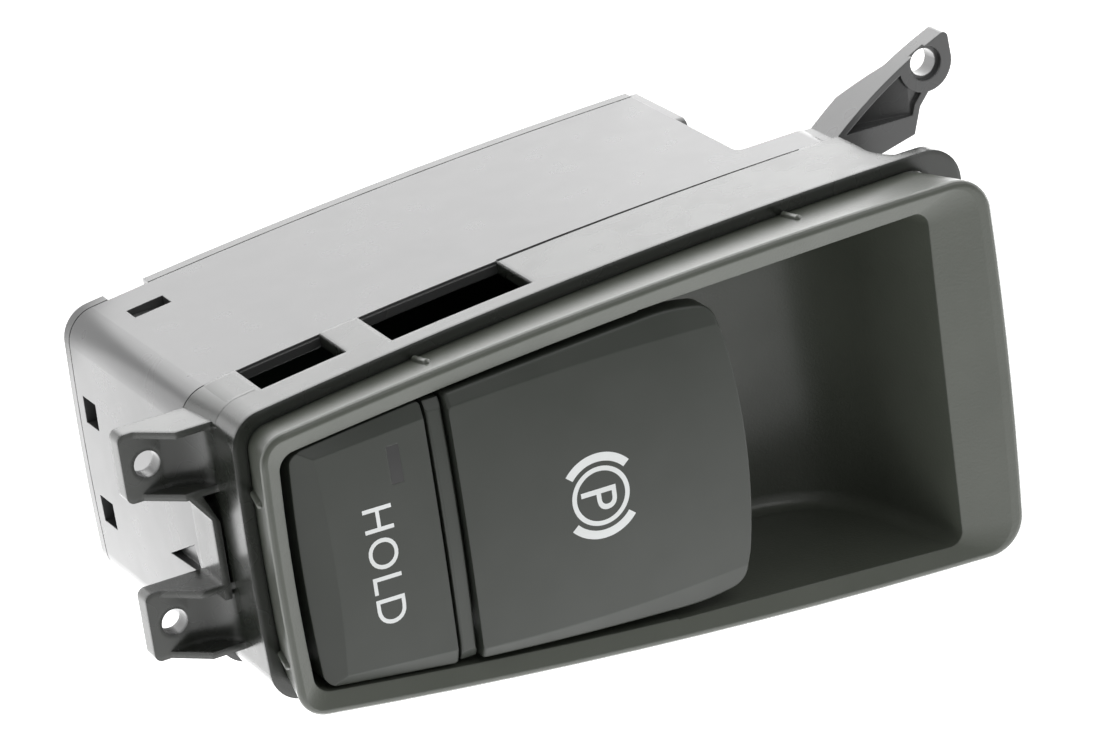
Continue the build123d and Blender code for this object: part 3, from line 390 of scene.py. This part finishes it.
def make_prints():
    """White legends: the parking brake pictogram and the word on the hold button."""
    ink = plastic("legend_ink", (0.74, 0.76, 0.75), (0.82, 0.84, 0.84), 0.4, 0.5, grain=0.1)
    brake = surface_of("parking_brake_button")
    hold = surface_of("hold_button")
    pieces = [stroke(brake, "symbol_ring", RING_RADIUS, RING_STROKE, 0, 360, RING_STEPS)]
    for i, middle in enumerate(ARC_MIDDLES):
        pieces.append(stroke(brake, f"symbol_arc_{i + 1}", ARC_RADIUS, ARC_STROKE, middle - ARC_HALF_ANGLE,
                             middle + ARC_HALF_ANGLE, ARC_STEPS))
    letter_centre = (SYMBOL_CENTRE[0] + LETTER_SHIFT[0], SYMBOL_CENTRE[1] + LETTER_SHIFT[1])
    pieces.append(lettering(brake, "symbol_letter", "P", LETTER_HEIGHT, letter_centre))
    for piece in pieces:
        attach(piece, "parking_brake_button")
    word = lettering(hold, "hold_word", "HOLD", WORD_HEIGHT, WORD_CENTRE, WORD_SPACING)
    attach(word, "hold_button")
    for piece in pieces + [word]:
        piece.data.materials.clear()
        piece.data.materials.append(ink)


def make_floor():
    """Pale floor that takes the part's shadow and reads white to the camera; to glossy rays alone it glows,
    painting a sheen with a darker band into the walls' reflections.
    """
    h = FLOOR_HALF
    floor = mesh_object("floor", [(-h, -h, 0), (h, -h, 0), (h, h, 0), (-h, h, 0)], [(0, 1, 2, 3)])
    floor.location.z = FLOOR_LEVEL
    material = bpy.data.materials.new("floor_white")
    tree = empty_tree(material)
    out = tree.nodes.new("ShaderNodeOutputMaterial")
    add = tree.nodes.new("ShaderNodeAddShader")
    diffuse = tree.nodes.new("ShaderNodeBsdfDiffuse")
    diffuse.inputs["Color"].default_value = (FLOOR_WHITE, FLOOR_WHITE, FLOOR_WHITE, 1)
    glow = tree.nodes.new("ShaderNodeEmission")
    path = tree.nodes.new("ShaderNodeLightPath")
    place = tree.nodes.new("ShaderNodeNewGeometry").outputs["Position"]
    # Painted reflection: glow seen only by glossy rays, fading at one end and darker in a band
    fade = ramp(tree, along(tree, place, SHEEN_TOWARDS), SHEEN_FADE, SHEEN * SHEEN_LOW, SHEEN, smooth=True)
    from_band = calculate(tree, "SUBTRACT", along(tree, place, BAND_ACROSS), BAND_MIDDLE)
    band = ramp(tree, calculate(tree, "ABSOLUTE", from_band), BAND_REACH, BAND_LOW, 1.0, smooth=True)
    mirrored = calculate(tree, "MULTIPLY", path.outputs["Is Glossy Ray"], calculate(tree, "MULTIPLY", fade, band))
    seen = calculate(tree, "MULTIPLY", path.outputs["Is Camera Ray"], FLOOR_SEEN)
    tree.links.new(calculate(tree, "ADD", mirrored, seen), glow.inputs["Strength"])
    tree.links.new(diffuse.outputs["BSDF"], add.inputs[0])
    tree.links.new(glow.outputs["Emission"], add.inputs[1])
    tree.links.new(add.outputs["Shader"], out.inputs["Surface"])
    floor.data.materials.append(material)


def make_world():
    """Soft white studio, brighter on one side as in the photograph."""
    world = bpy.data.worlds.new("studio")
    bpy.context.scene.world = world
    tree = empty_tree(world)
    out = tree.nodes.new("ShaderNodeOutputWorld")
    back = tree.nodes.new("ShaderNodeBackground")
    coords = tree.nodes.new("ShaderNodeTexCoord").outputs["Generated"]
    sky = ramp(tree, along(tree, coords, SKY_TOWARDS), SKY_RAMP, SKY_DARK, SKY_BRIGHT, smooth=True)
    path = tree.nodes.new("ShaderNodeLightPath")
    mix = tree.nodes.new("ShaderNodeMix")
    mix.inputs["B"].default_value = SKY_SEEN
    tree.links.new(path.outputs["Is Camera Ray"], mix.inputs["Factor"])
    tree.links.new(sky, mix.inputs["A"])
    tree.links.new(mix.outputs["Result"], back.inputs["Strength"])
    tree.links.new(back.outputs["Background"], out.inputs["Surface"])


def make_key_light():
    """Square softbox aimed at the part."""
    light = bpy.data.lights.new("key_softbox", "AREA")
    light.size = KEY_SIZE
    light.energy = KEY_POWER
    obj = link("key_softbox", light)
    obj.location = KEY_PLACE
    obj.rotation_euler = (KEY_AIM - KEY_PLACE).to_track_quat("-Z", "Y").to_euler()


def make_camera():
    """Camera of the photograph."""
    data = bpy.data.cameras.new("photo_camera")
    data.sensor_width = SENSOR_WIDTH
    data.lens = LENS
    data.clip_start = CLIP_START
    obj = link("photo_camera", data)
    right = IMAGE_RIGHT.normalized()
    up = (-IMAGE_DOWN - right * (-IMAGE_DOWN).dot(right)).normalized()
    back = right.cross(up)
    turn = Matrix((right, up, back)).transposed()
    obj.matrix_world = Matrix.Translation(CAMERA_PLACE) @ turn.to_4x4()
    bpy.context.scene.camera = obj


make_materials()
make_painted_seam_shadow()
make_corner_blend(NODES["front_carrier"].data.materials[0])
make_prints()
make_floor()
make_world()
make_key_light()
make_camera()

view = bpy.context.scene.view_settings
view.view_transform = "Standard"
